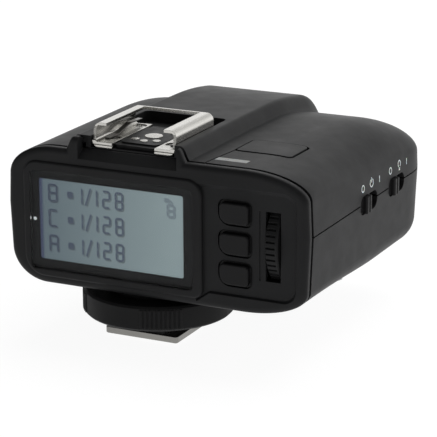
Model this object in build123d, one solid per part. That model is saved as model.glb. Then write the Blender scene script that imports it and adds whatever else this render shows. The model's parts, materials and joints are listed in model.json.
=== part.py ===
from build123d import *
import math
import os

# Wireless flash trigger, in millimetres.
# The origin is the centre of the hot-shoe foot's lower face.  +X is right as the user sees the
# display, +Y points from the display towards the subject, +Z is up.

# ---------------------------------------------------------------- driving dimensions
# Housing envelope
LEFT_X = -30.8
RIGHT_X = 44.0
FRONT_Y = 56.5
BOTTOM_Z = 12.0
SEAM_Z = 30.5
SHOULDER_Z = 44.3
HUMP_Z = 47.3
WALL = 1.6
SEAM_GAP = 0.34
SIDE_DRAFT = math.radians(2.5)
CENTRE_X = (LEFT_X + RIGHT_X) / 2

# Face plate, which closes the display end
PLATE_BACK_Y = -12.5
PLATE_Y = -15.0
POD_Y = -15.5
POD_EDGE_R = 0.6
POD_X = (-26.6, 18.6)
POD_Z = (13.75, 40.95)
POD_CORNERS = (5.0, 2.2, 3.6, 3.6)
PANEL_Y = -14.4
PANEL_MOUTH_Y = PLATE_Y - 0.52
PANEL_MOUTH = ((17.0, 12.7), (20.4, 15.1), (41.5, 15.1), (41.5, 41.0), (17.0, 41.0))
PANEL_FLOOR = ((17.0, 13.5), (20.1, 15.8), (40.8, 15.8), (40.8, 39.4), (17.0, 39.4))
PANEL_CORNER_R = 3.2
PLATE_RIM_R = 1.0
PLATE_RIM_INSET = 1.3
SHADOW_GROOVE_W = 0.7
SHADOW_GROOVE_DEPTH = 0.45
RIM_STEPS = 4
HOLLOW_WIDE_X, HOLLOW_WIDE_Z = (-28.5, 41.8), (19.0, 38.0)
HOLLOW_TALL_X, HOLLOW_TALL_Z = (-22.0, 36.0), (14.6, 40.6)
PLATE_SKIN_Y = -13.4
APRON_Z = 41.6
SHELL_Y = PLATE_BACK_Y + 0.3
LIP_DEPTH = 1.4
LIP_T = 0.9

# Housing corners and the rounding towards the front end
TOP_CORNER_RISE_RIGHT = (0.43, 0.62)
TOP_CORNER_RISE_LEFT = (0.5, 0.45)
TOP_CORNER_END_Y = 20.0
TOP_CORNER_SHARE_RIGHT = 0.53
TOP_CORNER_SHARE_LEFT = 0.78
LOW_CORNER_LEFT = (9.5, 7.5)
LOW_CORNER_RIGHT_W = (16.0, 7.5)
LOW_CORNER_RIGHT_H = (5.8, 5.6)
LOW_CORNER_END_Y = 30.0
KAPPA = 0.5523
CROWN_START_Y = 33.0
SHOULDER_CROWN_R = 62.0
HUMP_CROWN_R = 100.0
SIDE_ROUND, SIDE_REACH = 4.6, 9.2
TOP_ROUND, TOP_REACH = 3.0, 5.0
LOW_ROUND, LOW_REACH = 4.0, 8.0
ROUND_END = 0.97
STATION_COUNT = 17

# Raised centre of the top, which widens near the front end
HUMP_BASE = 14.2
HUMP_CREST = 11.9
FLARE_START_Y = 10.0
FLARE_BASE = 2.9
FLARE_CREST = 0.5
LEFT_EXTRA = (1.5, -0.8)
LEFT_EXTRA_END_Y = 45.0
FLANK_LOW_SHARE = 0.4
FLANK_HIGH_SHARE = 0.6

# Accessory shoe on the top
SHOE_W = 20.7
SHOE_TOP_Z = 50.2
SHOE_FLOOR_Z = 44.7
SHEET = 0.65
FLANGE_T = 2 * SHEET
HEM_GROOVE = 0.16
RAIL_W = 3.15
FLANGE_W = 5.0
SHOE_FRONT_Y = -10.8
FLANGE_FRONT_Y = -11.8
SHOE_END_Y = 7.8
SHOE_BAND_W = 0.6
POCKET_HALF = 10.55
POCKET_END_Y = 14.8
POCKET_CORNER_R = 1.5
POCKET_WALL = 1.2
POCKET_FLOOR_T = 1.5
NOTCH_HALF = 12.4
SHOE_SCREWS = tuple((x, y) for x in (-7.4, 7.4) for y in (-7.0, 5.5))

# Contacts in the shoe: x, y, radius
SHOE_PADS = ((0.0, -1.8, 2.1), (-2.7, -5.6, 0.95), (0.0, -6.6, 0.95), (2.7, -5.6, 0.95), (3.2, 2.2, 0.8))

# Foot that slides into a camera's shoe, and its lock
FOOT_W = 18.6
FOOT_L = 18.9
FOOT_T = 1.5
FOOT_CORNER_R = 0.8
FOOT_SCREWS = ((-4.4, -6.6), (4.4, -6.6), (-4.4, 8.0), (4.4, 8.0))
STEM_HALF_X = 6.1
STEM_HALF_Y = 9.0
NECK_R = 11.9
NECK_LOW_Z = 4.65
SPIGOT_R = 9.0
RING_R = 17.75
RING_LOW_Z = 4.6
RING_H = 5.8
RIB_SECTORS = 4
RIB_COUNT = 10
RIB_PITCH = math.radians(3.3)
RIB_CENTRE = math.radians(-61.5)
RIB_R = 0.42
WASHER_R = 14.2
WASHER_T = 0.8
RUNNING = 0.08

# Display
WINDOW_X = (-24.8, 16.3)
WINDOW_Z = (15.5, 38.7)
WINDOW_CORNER_R = 1.1
WINDOW_SEAT_DEPTH = 1.15
SEAT_GAP = 0.08
LCD_X = (-23.6, 15.4)
LCD_Z = (17.2, 38.2)

# Keys and selector wheel
KEY_W, KEY_H = 7.0, 4.8
KEY_X = 26.3
KEY_TOP_Z = 34.35
KEY_PITCH = 6.95
KEY_FRONT_Y = PANEL_Y - 1.0
KEY_GAP = 0.6
KEY_RUNNING = 0.12
KEY_SKIRT_DEPTH = 0.45
KEY_FLANGE = 0.9
WHEEL_X = (33.95, 36.95)
WHEEL_R = 11.0
WHEEL_Y = PANEL_Y - 1.3 + WHEEL_R
WHEEL_Z = 27.75
WHEEL_SLOT_Z = (19.85, 35.65)
WHEEL_GAP = 0.3
WHEEL_RIM_W = 0.6
WHEEL_CHAMFER = 0.3
TOOTH_DEPTH = 0.45
TOOTH_SHAPE = ((0.0, TOOTH_DEPTH), (0.14, 0.0), (0.76, 0.0), (0.9, TOOTH_DEPTH))
WHEEL_LINE_X = (32.1, 32.5)
WHEEL_LINE_DEPTH = 0.2
WHEEL_TEETH = 50
SHAFT_R = 1.5

# Test key and status window on the right shoulder
TEST_X = (19.5, 32.8)
TEST_Y = (0.3, 10.4)
TEST_GAP = 0.5
PANEL_LINE = ((17.9, -13.0), (19.3, 0.6))
PANEL_LINE_W = 0.35
TEST_CORNER_R = 1.0
TEST_PROUD = 0.12
STATUS_X = (18.7, 26.4)
STATUS_Y = (-8.8, -6.7)

# Slide switches on the right side, at the seam
SLOT_L = 10.0
SLOT_Z = (28.0, 32.3)
POWER_SLOT_Y = 19.5
LAMP_SLOT_Y = 36.6
SLOT_CORNER_R = 1.9
SLIDER_L = 6.8
SLIDER_GAP = 0.25
KNOB_L = 3.0
KNOB_PROUD = 0.8

# Battery bay
CELL_R = 7.1
CELL_L = 50.5
CELL_X = (-18.9, 31.6)
CELL_Y = (29.2, 43.8)
CELL_Z = 22.7
TRAY_X = (-22.0, 35.0)
TRAY_Y = (21.0, 52.0)
TRAY_Z = (15.0, 31.0)
DOOR_X = (-20.5, 33.5)
DOOR_Y = (21.9, 50.2)
DOOR_T = 1.4
HINGE_Y = 23.4
HINGE_Z = BOTTOM_Z + 1.3
HINGE_R = 1.25
HINGE_PIN_R = 0.6
LUG_X = 6.2

# Boards
BOARD_T = 1.2
MAIN_BOARD_Z = 33.5
DISPLAY_BOARD_Y = -10.5

# Parts on the main board: x, y, height
BOARD_PARTS = (
    ((3, 13), (16, 26), 1.2),
    ((17, 22), (20, 24), 1.4),
    ((4, 9), (31, 35), 1.0),
    ((16, 21), (30, 35), 2.4),
)

# Sockets on the left side
JACK_Y, JACK_Z = 9.0, 25.0
JACK_R = 1.27
USB_Y, USB_Z = 20.5, 25.0

# Case screws, as (x, y)
CASE_SCREWS = ((-26.0, -4.5), (39.5, 10.4), (38.4, 46.2), (-25.4, 44.0))
BOSS_R = 2.4

# Contact pins in the foot: name, x, y, radius
PINS = (
    ("centre", 0.0, 0.0, 1.0),
    ("a", -4.4, 1.6, 0.6),
    ("b", -2.4, 4.3, 0.6),
    ("c", 2.4, 4.3, 0.6),
    ("d", 4.4, 1.6, 0.6),
)
PIN_PROUD = 0.6
LOCK_PIN_Y = -7.6
LOCK_PIN_R = 0.8


# ---------------------------------------------------------------- small helpers
def block(x, y, z):
    """A box between the low and high values of each axis."""
    size = (x[1] - x[0], y[1] - y[0], z[1] - z[0])
    middle = ((x[0] + x[1]) / 2, (y[0] + y[1]) / 2, (z[0] + z[1]) / 2)
    return Pos(*middle) * Box(*size)


def rounded_block(x, y, z, radius, axis=Axis.Z):
    """A box whose edges along one axis are rounded."""
    solid = block(x, y, z)
    return fillet(solid.edges().filter_by(axis), radius)


def rod(radius, start, end):
    """A cylinder between two points."""
    start, end = Vector(*start), Vector(*end)
    plane = Plane(origin=start, z_dir=end - start)
    return Solid.make_cylinder(radius, (end - start).length, plane)


def tube(outer, inner, start, end):
    return rod(outer, start, end) - rod(inner, start, end)


def along_x(profile, x0, x1):
    """Extrude a closed list of (y, z) points from x0 to x1."""
    points = [Vector(x0, y, z) for y, z in profile]
    face = Face(Wire.make_polygon(points, close=True))
    return Solid.extrude(face, Vector(x1 - x0, 0, 0))


def widened(span, grow):
    """A span of low and high values, longer by `grow` at each end."""
    return span[0] - grow, span[1] + grow


def group(solids):
    """Separate solids kept in one node."""
    return Compound(children=list(solids))


def rounded_outline(x, z, radii, y):
    """A rectangle in a plane of constant y; radii go bottom-left, bottom-right, top-right, top-left."""
    corners = ((x[0], z[0]), (x[1], z[0]), (x[1], z[1]), (x[0], z[1]))
    wire = Wire.make_polygon([Vector(cx, y, cz) for cx, cz in corners], close=True)
    for (cx, cz), radius in zip(corners, radii):
        corner = min(wire.vertices(), key=lambda v: (Vector(v) - Vector(cx, y, cz)).length)
        wire = wire.fillet_2d(radius, [corner])
    return wire


def plug(x, z, radii, y0, y1):
    """A solid with a rounded rectangular section, from y0 to y1."""
    return Solid.extrude(Face(rounded_outline(x, z, radii, y0)), Vector(0, y1 - y0, 0))


# ---------------------------------------------------------------- housing sections
def rounding(y, depth, reach):
    """How far an elliptical rounding, which starts `reach` before the front end, has come in at y."""
    share = ROUND_END * max(0.0, y - FRONT_Y + reach) / reach
    return depth * (1 - math.sqrt(1 - min(share, ROUND_END) ** 2))


def crown(y, radius):
    """How far a top surface has fallen at y, on its long arc."""
    run = max(0.0, y - CROWN_START_Y)
    return radius - math.sqrt(radius**2 - run**2)


def eased(values, y, end_y):
    """A value that goes smoothly from its size at the plate to its size at `end_y` and beyond."""
    share = min(1.0, max(0.0, (y - PLATE_BACK_Y) / (end_y - PLATE_BACK_Y)))
    return values[0] + (values[1] - values[0]) * share**2 * (3 - 2 * share)


def flare(y):
    """Share of the hump's widening reached at y."""
    return (max(0.0, y - FLARE_START_Y) / (FRONT_Y - FLARE_START_Y)) ** 2


def side_limits(y, grow):
    """Left and right x of the housing at the seam."""
    inset = rounding(y - grow, SIDE_ROUND, SIDE_REACH) - grow
    return LEFT_X + inset, RIGHT_X - inset


def corner_points(start, end, lean, y):
    """Bezier points of a quarter round from a nearly vertical line to a level one."""
    (x0, z0), (x1, z1) = start, end
    rise = KAPPA * (z1 - z0)
    points = [(x0, z0), (x0 + lean * rise, z0 + rise), (x1 + KAPPA * (x0 - x1), z1), (x1, z1)]
    return [Vector(px, y, pz) for px, pz in points]


def flank_points(low, high, y):
    """Bezier points of the hump's flank, which leaves the shoulder in a crease and turns level at the top."""
    (x0, z0), (x1, z1) = low, high
    reach, rise = x1 - x0, z1 - z0
    rising = (x0 + FLANK_LOW_SHARE * reach, z0 + FLANK_LOW_SHARE * rise)
    points = [(x0, z0), rising, (x1 - FLANK_HIGH_SHARE * reach, z1), (x1, z1)]
    return [Vector(px, y, pz) for px, pz in points]


def level(a, b, y):
    return Line(Vector(a[0], y, a[1]), Vector(b[0], y, b[1]))


def upper_edges(y, grow, seam):
    """Edges of the upper half's section, from the right end of the seam to the left end."""
    left, right = side_limits(y, grow)
    fall = rounding(y - grow, TOP_ROUND, TOP_REACH) - grow
    top = SHOULDER_Z - fall - crown(y - grow, SHOULDER_CROWN_R)
    hump = HUMP_Z - fall - crown(y - grow, HUMP_CROWN_R)
    base = HUMP_BASE + FLARE_BASE * flare(y - grow) + grow
    crest = HUMP_CREST + FLARE_CREST * flare(y - grow) + grow
    extra = eased(LEFT_EXTRA, y, LEFT_EXTRA_END_Y)
    left_base, left_crest = -base - extra, -crest - extra
    lean = math.tan(SIDE_DRAFT)
    right_rise = (top - seam) * (1 - eased(TOP_CORNER_RISE_RIGHT, y, TOP_CORNER_END_Y))
    left_rise = (top - seam) * (1 - eased(TOP_CORNER_RISE_LEFT, y, TOP_CORNER_END_Y))
    right_start = (right - lean * right_rise, seam + right_rise)
    left_start = (left + lean * left_rise, seam + left_rise)
    right_turn = (right - TOP_CORNER_SHARE_RIGHT * (right - base), top)
    left_turn = (left + TOP_CORNER_SHARE_LEFT * (left_base - left), top)
    return [
        level((right, seam), right_start, y),
        Bezier(*corner_points(right_start, right_turn, -lean, y)),
        level(right_turn, (base, top), y),
        Bezier(*flank_points((base, top), (crest, hump), y)),
        level((crest, hump), (left_crest, hump), y),
        Bezier(*reversed(flank_points((left_base, top), (left_crest, hump), y))),
        level((left_base, top), left_turn, y),
        Bezier(*reversed(corner_points(left_start, left_turn, lean, y))),
        level(left_start, (left, seam), y),
    ]


def lower_edges(y, grow, seam):
    """Edges of the lower half's section, from the left end of the seam to the right end."""
    left, right = side_limits(y, grow)
    bottom = BOTTOM_Z + rounding(y - grow, LOW_ROUND, LOW_REACH) - grow
    lean = math.tan(SIDE_DRAFT)
    left_turn = bottom + LOW_CORNER_LEFT[1]
    right_turn = bottom + eased(LOW_CORNER_RIGHT_H, y, LOW_CORNER_END_Y)
    left_end = (left + LOW_CORNER_LEFT[0], bottom)
    right_end = (right - eased(LOW_CORNER_RIGHT_W, y, LOW_CORNER_END_Y), bottom)
    left_start = (left + lean * (seam - left_turn), left_turn)
    right_start = (right - lean * (seam - right_turn), right_turn)
    return [
        level((left, seam), left_start, y),
        Bezier(*corner_points(left_start, left_end, -lean, y)),
        level(left_end, right_end, y),
        Bezier(*reversed(corner_points(right_start, right_end, lean, y))),
        level(right_start, (right, seam), y),
    ]


def half_section(edges, y, grow, seam):
    """One half's closed section; the seam line closes it."""
    left, right = side_limits(y, grow)
    return Wire([*edges(y, grow, seam), level((left, seam), (right, seam), y)])


def half_housing(edges, grow, seam):
    """One half of the housing as a solid, shrunk by -`grow` all round; sections crowd at the round end."""
    sections = []
    for index in range(STATION_COUNT):
        share = math.sin(math.pi / 2 * index / (STATION_COUNT - 1))
        y = SHELL_Y + share * (FRONT_Y + grow - SHELL_Y)
        sections.append(half_section(edges, y, grow, seam))
    return Solid.make_loft(sections)


def whole_section(y, grow):
    """The housing's whole outline, without the seam."""
    return Wire([*upper_edges(y, grow, SEAM_Z), *lower_edges(y, grow, SEAM_Z)])


# ---------------------------------------------------------------- housing
def switch_slots():
    """The slide switches' round-ended slots in the right wall."""
    wall = (RIGHT_X - 3, RIGHT_X + 2)
    spans = [(y - SLOT_L / 2, y + SLOT_L / 2) for y in (POWER_SLOT_Y, LAMP_SLOT_Y)]
    return [rounded_block(wall, span, SLOT_Z, SLOT_CORNER_R, Axis.X) for span in spans]


def shoe_pocket():
    """The pocket in the hump that the accessory shoe stands in, open towards the user."""
    x, y = (-POCKET_HALF, POCKET_HALF), (SHELL_Y - 5, POCKET_END_Y)
    return rounded_block(x, y, (SHOE_FLOOR_Z, SHOE_TOP_Z), POCKET_CORNER_R)


def test_key_hole(grow):
    z = (SHOULDER_Z - 6, SHOULDER_Z + 3)
    return rounded_block(widened(TEST_X, grow), widened(TEST_Y, grow), z, TEST_CORNER_R + grow)


def status_hole(grow):
    z = (SHOULDER_Z - 6, SHOULDER_Z + 1)
    return block(widened(STATUS_X, grow), widened(STATUS_Y, grow), z)


def panel_line():
    """A shallow groove in the shoulder, from the face plate to the test key."""
    (x0, y0), (x1, y1) = PANEL_LINE
    length = math.hypot(x1 - x0, y1 - y0)
    angle = math.degrees(math.atan2(y1 - y0, x1 - x0))
    groove = Box(length, PANEL_LINE_W, 1.5)
    return Pos((x0 + x1) / 2, (y0 + y1) / 2, SHOULDER_Z + 0.35) * Rot(0, 0, angle) * groove


def upper_shell():
    seam = SEAM_Z + SEAM_GAP / 2
    outer = half_housing(upper_edges, 0, seam)
    shell = outer - half_housing(upper_edges, -WALL, seam)
    shell += block(
        widened((-POCKET_HALF, POCKET_HALF), POCKET_WALL), (SHELL_Y, POCKET_END_Y + POCKET_WALL),
        (SHOE_FLOOR_Z - POCKET_FLOOR_T, HUMP_Z - POCKET_WALL),
    )
    for x, y in CASE_SCREWS:
        shell += rod(BOSS_R, (x, y, seam), (x, y, SHOULDER_Z)) & outer
    shell -= shoe_pocket()
    for x, y in CASE_SCREWS:
        shell -= rod(0.9, (x, y, seam - 1), (x, y, seam + 7))
    shell -= test_key_hole(TEST_GAP)
    shell -= status_hole(0.05)
    shell -= panel_line()
    for slot in switch_slots():
        shell -= slot
    shell -= assist_opening(0.1)
    for x, y in SHOE_SCREWS:
        shell -= rod(0.8, (x, y, SHOE_FLOOR_Z - 3), (x, y, SHOE_FLOOR_Z + 1))
    return shell


def lower_shell():
    seam = SEAM_Z - SEAM_GAP / 2
    outer = half_housing(lower_edges, 0, seam)
    shell = outer - half_housing(lower_edges, -WALL, seam)
    for x, y in CASE_SCREWS:
        shell += rod(BOSS_R, (x, y, BOTTOM_Z), (x, y, seam)) & outer
    for x, y in CASE_SCREWS:
        shell -= rod(1.1, (x, y, BOTTOM_Z - 1), (x, y, seam + 1))
        shell -= rod(2.0, (x, y, BOTTOM_Z - 1), (x, y, BOTTOM_Z + 3.2))
    shell -= rod(SPIGOT_R + 0.05, (0, 0, BOTTOM_Z - 1), (0, 0, BOTTOM_Z + 3))
    shell -= block(DOOR_X, DOOR_Y, (BOTTOM_Z - 2, BOTTOM_Z + WALL + 0.2))
    for x in (DOOR_X[0], DOOR_X[1] - LUG_X):
        shell += hinge_lug(x, x + LUG_X)
    shell -= rod(HINGE_PIN_R + 0.01, (DOOR_X[0] + 1, HINGE_Y, HINGE_Z), (DOOR_X[1] - 1, HINGE_Y, HINGE_Z))
    for slot in switch_slots():
        shell -= slot
    shell -= rod(3.1, (LEFT_X - 2, JACK_Y, JACK_Z), (LEFT_X + 3, JACK_Y, JACK_Z))
    shell -= usb_outline((LEFT_X - 2, LEFT_X + 3), 0.5)
    return shell


def hinge_lug(x0, x1):
    """A knuckle on the lower shell that carries one end of the battery door's pin."""
    barrel = rod(HINGE_R, (x0, HINGE_Y, HINGE_Z), (x1, HINGE_Y, HINGE_Z))
    web = block((x0, x1), (DOOR_Y[0] - 0.1, HINGE_Y), (HINGE_Z - HINGE_R + 0.02, HINGE_Z + HINGE_R))
    return barrel + web


def battery_door():
    """Cover of the cells, hinged at the foot's side."""
    gap = 0.2
    plate = block(
        (DOOR_X[0] + gap, DOOR_X[1] - gap), (HINGE_Y, DOOR_Y[1] - gap), (BOTTOM_Z - 1, BOTTOM_Z + DOOR_T)
    )
    door = plate & half_housing(lower_edges, 0, SEAM_Z)
    for x in (DOOR_X[0] - 1, DOOR_X[1] - LUG_X - gap):
        door -= block((x, x + LUG_X + 1 + gap), (HINGE_Y - 1, HINGE_Y + 1.5), (BOTTOM_Z - 2, BOTTOM_Z + 3))
    barrel_x = (DOOR_X[0] + LUG_X + gap, DOOR_X[1] - LUG_X - gap)
    door += rod(HINGE_R, (barrel_x[0], HINGE_Y, HINGE_Z), (barrel_x[1], HINGE_Y, HINGE_Z))
    door -= rod(HINGE_PIN_R + 0.05, (barrel_x[0] - 1, HINGE_Y, HINGE_Z), (barrel_x[1] + 1, HINGE_Y, HINGE_Z))
    for step in range(5):
        y = DOOR_Y[1] - 4.0 - 1.5 * step
        door -= block((CENTRE_X - 6, CENTRE_X + 6), (y - 0.35, y + 0.35), (BOTTOM_Z - 1, BOTTOM_Z + 0.4))
    return door


def door_hinge_pin():
    return rod(HINGE_PIN_R, (DOOR_X[0] + 1.2, HINGE_Y, HINGE_Z), (DOOR_X[1] - 1.2, HINGE_Y, HINGE_Z))


def rounded_rim():
    """The plate's front edge: sections that shrink along a quarter ellipse."""
    start = PLATE_Y + PLATE_RIM_R
    sections = []
    for step in range(RIM_STEPS + 1):
        angle = math.pi / 2 * step / RIM_STEPS
        inset = PLATE_RIM_INSET * (1 - math.cos(angle))
        sections.append(whole_section(start - PLATE_RIM_R * math.sin(angle), -inset))
    return Solid.make_loft(sections)


def shadow_groove():
    """A groove round the plate's edge, beside the shells."""
    start = PLATE_BACK_Y + 0.1
    reach = Vector(0, -SHADOW_GROOVE_W - 0.1, 0)
    outer = Solid.extrude(Face(whole_section(start, 0.2)), reach)
    return outer - Solid.extrude(Face(whole_section(start, -SHADOW_GROOVE_DEPTH)), reach)


def display_pod():
    pod = plug(POD_X, POD_Z, POD_CORNERS, PLATE_BACK_Y - 1, POD_Y)
    front = [edge for edge in pod.edges() if edge.bounding_box().max.Y < POD_Y + 0.01]
    return fillet(front, POD_EDGE_R)


def display_recess():
    """The window's seat and the opening for the LCD behind it."""
    x, z = widened(WINDOW_X, SEAT_GAP), widened(WINDOW_Z, SEAT_GAP)
    seat = plug(x, z, (WINDOW_CORNER_R + 0.1,) * 4, POD_Y - 1, POD_Y + WINDOW_SEAT_DEPTH)
    return seat + block(widened(LCD_X, 0.2), (POD_Y, PLATE_BACK_Y + 1), widened(LCD_Z, 0.2))


def apron():
    """What is cut away before the shoe, so that the plate slopes up to the pocket's floor."""
    front = PLATE_Y - 1
    profile = [(front, APRON_Z), (SHELL_Y, SHOE_FLOOR_Z), (SHELL_Y, SHOE_TOP_Z), (front, SHOE_TOP_Z)]
    return along_x(profile, -NOTCH_HALF, NOTCH_HALF)


def face_plate():
    """Moulding with the raised display pod, the key panel and the two fins beside the shoe."""
    back = Face(whole_section(PLATE_BACK_Y, 0))
    plate = Solid.extrude(back, Vector(0, PLATE_Y + PLATE_RIM_R - PLATE_BACK_Y, 0))
    plate += rounded_rim()
    plate -= shadow_groove()
    plate -= key_panel_cut()
    plate += display_pod()
    plate -= block(WHEEL_LINE_X, (PANEL_Y - 1, PANEL_Y + WHEEL_LINE_DEPTH), WHEEL_SLOT_Z)
    plate -= hollow_behind_plate()
    plate += plate_lip()
    plate -= display_recess()
    for index in range(3):
        plate -= key_outline(index, KEY_GAP, PANEL_Y - 1, PLATE_BACK_Y + 1)
    plate -= block(widened(WHEEL_X, WHEEL_GAP), (PANEL_Y - 1, PLATE_BACK_Y + 1), WHEEL_SLOT_Z)
    return plate - apron()


def plate_lip():
    """A rib behind the plate's edge that centres the two shells."""
    start = PLATE_BACK_Y - 0.2
    reach = Vector(0, LIP_DEPTH + 0.2, 0)
    outer = Solid.extrude(Face(whole_section(start, -WALL - 0.12)), reach)
    inner = Solid.extrude(Face(whole_section(start, -WALL - 0.12 - LIP_T)), reach)
    shoe_room = block((-NOTCH_HALF - 2, NOTCH_HALF + 2), (PLATE_BACK_Y - 1, 0), (SHOULDER_Z - 3, HUMP_Z))
    return outer - inner - shoe_room


def panel_outline(points, y):
    """The key panel's outline, whose two right-hand corners are rounded."""
    wire = Wire.make_polygon([Vector(x, y, z) for x, z in points], close=True)
    for x, z in points[2:4]:
        corner = min(wire.vertices(), key=lambda v: (Vector(v) - Vector(x, y, z)).length)
        wire = wire.fillet_2d(PANEL_CORNER_R, [corner])
    return wire


def key_panel_cut():
    """The sunk panel round the keys and the wheel; the pod closes its left side."""
    outlines = [panel_outline(PANEL_MOUTH, PANEL_MOUTH_Y), panel_outline(PANEL_FLOOR, PANEL_Y)]
    return Solid.make_loft(outlines, ruled=True)


def hollow_behind_plate():
    """The plate is a skin with a stiffening rim; this is the hollow behind the skin."""
    y = (PLATE_SKIN_Y, PLATE_BACK_Y + 1)
    return block(HOLLOW_WIDE_X, y, HOLLOW_WIDE_Z) + block(HOLLOW_TALL_X, y, HOLLOW_TALL_Z)


# ---------------------------------------------------------------- display
def display_window():
    return plug(WINDOW_X, WINDOW_Z, (WINDOW_CORNER_R,) * 4, POD_Y + 0.05, POD_Y + WINDOW_SEAT_DEPTH - 0.05)


def lcd_panel():
    return block(LCD_X, (POD_Y + 1.2, POD_Y + 2.6), LCD_Z)


def backlight():
    x = (LCD_X[0] + 0.3, LCD_X[1] - 0.3)
    return block(x, (POD_Y + 2.65, DISPLAY_BOARD_Y - 0.1), (LCD_Z[0] + 0.3, LCD_Z[1] - 0.3))


def display_board():
    board = block((-27.0, 30.6), (DISPLAY_BOARD_Y, DISPLAY_BOARD_Y + BOARD_T), (17.2, 40.4))
    return board - block((-28, -20), (DISPLAY_BOARD_Y - 1, DISPLAY_BOARD_Y + 3), (38, 41))


# ---------------------------------------------------------------- keys and wheel
def key_centre_z(index):
    return KEY_TOP_Z - KEY_PITCH * index


def key_outline(index, grow, y0, y1):
    """A key's section: its lower left corner is rounder than the others."""
    z = key_centre_z(index)
    x_span = (KEY_X - KEY_W / 2 - grow, KEY_X + KEY_W / 2 + grow)
    z_span = (z - KEY_H / 2 - grow, z + KEY_H / 2 + grow)
    radii = (2.3 + grow, 0.9 + grow, 0.9 + grow, 1.1 + grow)
    return plug(x_span, z_span, radii, y0, y1)


def face_key(index):
    cap = key_outline(index, 0, PLATE_SKIN_Y + 0.1, KEY_FRONT_Y)
    front = [edge for edge in cap.edges() if edge.bounding_box().max.Y < KEY_FRONT_Y + 0.01]
    cap = fillet(front, 0.4)
    cap += key_outline(index, KEY_GAP - KEY_RUNNING, PANEL_Y + KEY_SKIRT_DEPTH, PLATE_SKIN_Y + 0.2)
    flange = key_outline(index, KEY_FLANGE, PLATE_SKIN_Y + 0.1, PLATE_SKIN_Y + 0.7)
    z = key_centre_z(index)
    stem = rod(1.2, (KEY_X, PLATE_SKIN_Y + 0.6, z), (KEY_X, DISPLAY_BOARD_Y - 1.85, z))
    return cap + flange + stem


def key_switches():
    """A low tact switch behind each key."""
    switches = []
    for index in range(3):
        z = key_centre_z(index)
        case = block((KEY_X - 2.4, KEY_X + 2.4), (DISPLAY_BOARD_Y - 0.9, DISPLAY_BOARD_Y), (z - 2.4, z + 2.4))
        dome = rod(1.0, (KEY_X, DISPLAY_BOARD_Y - 1.1, z), (KEY_X, DISPLAY_BOARD_Y - 0.5, z))
        switches.append(case + dome)
    return group(switches)


def selector_wheel():
    """Wheel on a left-right axis with a toothed rim."""
    points = []
    pitch = 2 * math.pi / WHEEL_TEETH
    for tooth in range(WHEEL_TEETH):
        for share, depth in TOOTH_SHAPE:
            angle = pitch * (tooth + share)
            radius = WHEEL_R - depth
            points.append((WHEEL_Y + radius * math.cos(angle), WHEEL_Z + radius * math.sin(angle)))
    rim_start = WHEEL_X[1] - WHEEL_RIM_W
    blank = rod(WHEEL_R, (WHEEL_X[0], WHEEL_Y, WHEEL_Z), (WHEEL_X[1], WHEEL_Y, WHEEL_Z))
    blank = chamfer(blank.edges().filter_by(GeomType.CIRCLE), WHEEL_CHAMFER)
    rim = rod(WHEEL_R, (rim_start, WHEEL_Y, WHEEL_Z), (WHEEL_X[1], WHEEL_Y, WHEEL_Z))
    wheel = (along_x(points, *WHEEL_X) + rim) & blank
    for x in ((WHEEL_X[0] - 1, WHEEL_X[0] + 0.8), (WHEEL_X[1] - 0.8, WHEEL_X[1] + 1)):
        wheel -= tube(8.6, 3.4, (x[0], WHEEL_Y, WHEEL_Z), (x[1], WHEEL_Y, WHEEL_Z))
    return wheel - rod(SHAFT_R, (WHEEL_X[0] - 1, WHEEL_Y, WHEEL_Z), (WHEEL_X[1] + 1, WHEEL_Y, WHEEL_Z))


def wheel_shaft():
    return rod(SHAFT_R, (31.2, WHEEL_Y, WHEEL_Z), (39.9, WHEEL_Y, WHEEL_Z))


def encoder():
    """Rotary encoder that the wheel's shaft turns in."""
    z = (WHEEL_Z - 5, WHEEL_Z + 5)
    case = block((31.0, 33.6), (WHEEL_Y - 4.0, WHEEL_Y + 5), z)
    return case - rod(SHAFT_R + 0.05, (30, WHEEL_Y, WHEEL_Z), (35, WHEEL_Y, WHEEL_Z))


def wheel_bracket():
    """Carries the shaft's outer end and reaches round the wheel to the encoder."""
    ear = block((38.4, 39.8), (WHEEL_Y - 3, WHEEL_Y + 12.6), (WHEEL_Z - 3, WHEEL_Z + 3))
    back = block((31.0, 39.8), (WHEEL_Y + 11.4, WHEEL_Y + 12.6), (WHEEL_Z - 3, WHEEL_Z + 3))
    arm = block((31.0, 32.4), (WHEEL_Y + 5, WHEEL_Y + 12.0), (WHEEL_Z - 3, WHEEL_Z + 3))
    return ear + back + arm - rod(SHAFT_R + 0.05, (38, WHEEL_Y, WHEEL_Z), (41, WHEEL_Y, WHEEL_Z))


# ---------------------------------------------------------------- test key, status window, assist lamp
def test_key():
    """Key flush with the shoulder, cut to the shoulder's own surface."""
    cap = test_key_hole(0) & half_housing(upper_edges, 0, SEAM_Z)
    cap = cap.moved(Location((0, 0, TEST_PROUD)))
    cap = cap & block((0, 50), (-5, 20), (SHOULDER_Z - 2.0, SHOULDER_Z + 1))
    x, y = sum(TEST_X) / 2, sum(TEST_Y) / 2
    stem = rod(1.5, (x, y, SHOULDER_Z - 1.5), (x, y, MAIN_BOARD_Z + BOARD_T + 4.7))
    return cap + stem


def test_switch():
    x, y, z = sum(TEST_X) / 2, sum(TEST_Y) / 2, MAIN_BOARD_Z + BOARD_T
    case = block((x - 3, x + 3), (y - 3, y + 3), (z, z + 3.3))
    return case + rod(1.7, (x, y, z + 3), (x, y, z + 3.8))


def status_light_pipe():
    """Clear bar that shows the status lamp on the shoulder."""
    bar = status_hole(0) & half_housing(upper_edges, 0, SEAM_Z)
    return bar & block((0, 50), (-20, 0), (SHOULDER_Z - 4, SHOULDER_Z + 1))


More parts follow.
